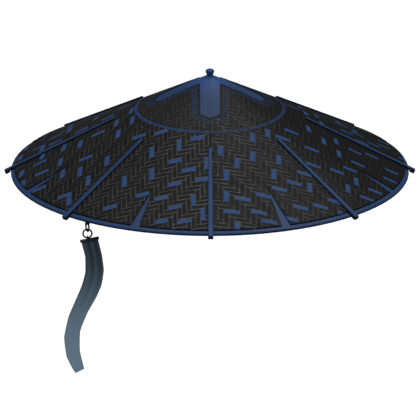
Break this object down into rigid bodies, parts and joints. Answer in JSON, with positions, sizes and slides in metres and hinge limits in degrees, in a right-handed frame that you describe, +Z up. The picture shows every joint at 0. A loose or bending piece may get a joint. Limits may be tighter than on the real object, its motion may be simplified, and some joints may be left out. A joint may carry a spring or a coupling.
{
  "type": "conical samurai hat",
  "caption": "Wide conical hat of black twill-woven strips with lacquered blue ribs, rim hoop, crown cross and knob, and a cloth ribbon hanging from linked rings.",
  "frame": {"origin": "on the cone's axis, level with the circle of 40 mm radius where the wearer's head touches the inside of the cone", "axes": "+Z up along the cone's axis through the knob, -Y towards the front rib, +X to the right of a viewer who faces that rib"},
  "size_m": [0.5162, 0.5162, 0.34],
  "materials": {
    "woven_black": "matte black split-bamboo strips in a twill weave, with grey gaps and scattered blue strips",
    "lacquer_blue": "satin dark blue lacquer",
    "dark_metal": "satin blue-black",
    "ribbon_cloth": "matte woven cloth, dark slate at the top and paler blue-grey at the free end"
  },
  "bodies": {
    "root": {"woven_cone": "woven_black", "rim_hoop": "lacquer_blue", "rib_front": "lacquer_blue", "rib_front_right": "lacquer_blue", "rib_right": "lacquer_blue", "rib_back_right": "lacquer_blue", "rib_back": "lacquer_blue", "rib_back_left": "lacquer_blue", "rib_left": "lacquer_blue", "rib_front_left": "lacquer_blue", "crown_cross": "lacquer_blue", "top_knob": "lacquer_blue", "ribbon_eye": "dark_metal", "ring_upper": "dark_metal", "ring_lower": "dark_metal", "ribbon_clasp": "dark_metal", "ribbon": "ribbon_cloth"}
  },
  "joints": []
}
